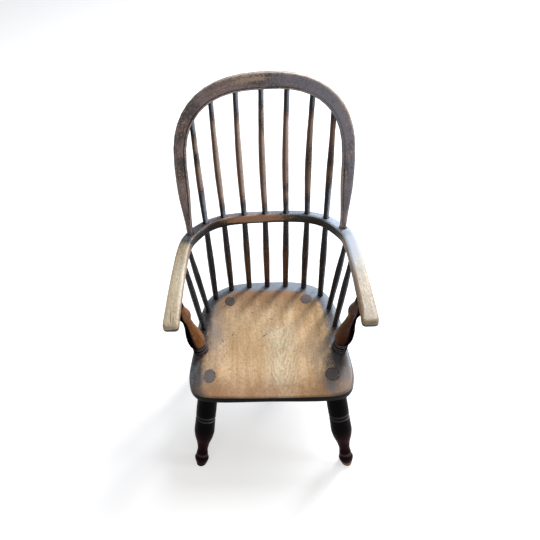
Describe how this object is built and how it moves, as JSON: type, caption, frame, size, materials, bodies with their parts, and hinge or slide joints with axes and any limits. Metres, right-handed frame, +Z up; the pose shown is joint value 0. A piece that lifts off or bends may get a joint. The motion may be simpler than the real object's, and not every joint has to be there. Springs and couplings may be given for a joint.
{
  "type": "child armchair",
  "caption": "Child's hoop-back wooden armchair: a dished plank seat on raked turned legs, with a bent arm bow on turned posts and sticks, and a bent hoop above it.",
  "frame": {"origin": "on the floor under the middle of the chair's box", "axes": "+Z up, -Y towards the front of the seat, +X to the right of someone who faces the chair"},
  "size_m": [0.3986, 0.4315, 0.7093],
  "materials": {
    "elm_seat": "worn wax over dark stain at the rim",
    "ebonised_legs": "black stain, waxed",
    "turned_posts": "brown stain rubbed through, waxed",
    "worn_arm_bow": "bare and bleached at the hands, dark stain behind",
    "stained_hoop": "dark stain, worn brown in places",
    "stained_sticks": "dark stain, rubbed brown in the middle"
  },
  "bodies": {
    "root": {"seat": "elm_seat", "leg_front_left": "ebonised_legs", "leg_front_right": "ebonised_legs", "leg_back_left": "ebonised_legs", "leg_back_right": "ebonised_legs", "arm_post_left": "turned_posts", "arm_post_right": "turned_posts", "arm_bow": "worn_arm_bow", "back_hoop": "stained_hoop", "back_stick_1": "stained_sticks", "back_stick_2": "stained_sticks", "back_stick_3": "stained_sticks", "back_stick_4": "stained_sticks", "back_stick_5": "stained_sticks", "back_stick_6": "stained_sticks", "back_stick_7": "stained_sticks", "side_stick_left_rear": "stained_sticks", "side_stick_left_front": "stained_sticks", "side_stick_right_rear": "stained_sticks", "side_stick_right_front": "stained_sticks"}
  },
  "joints": []
}
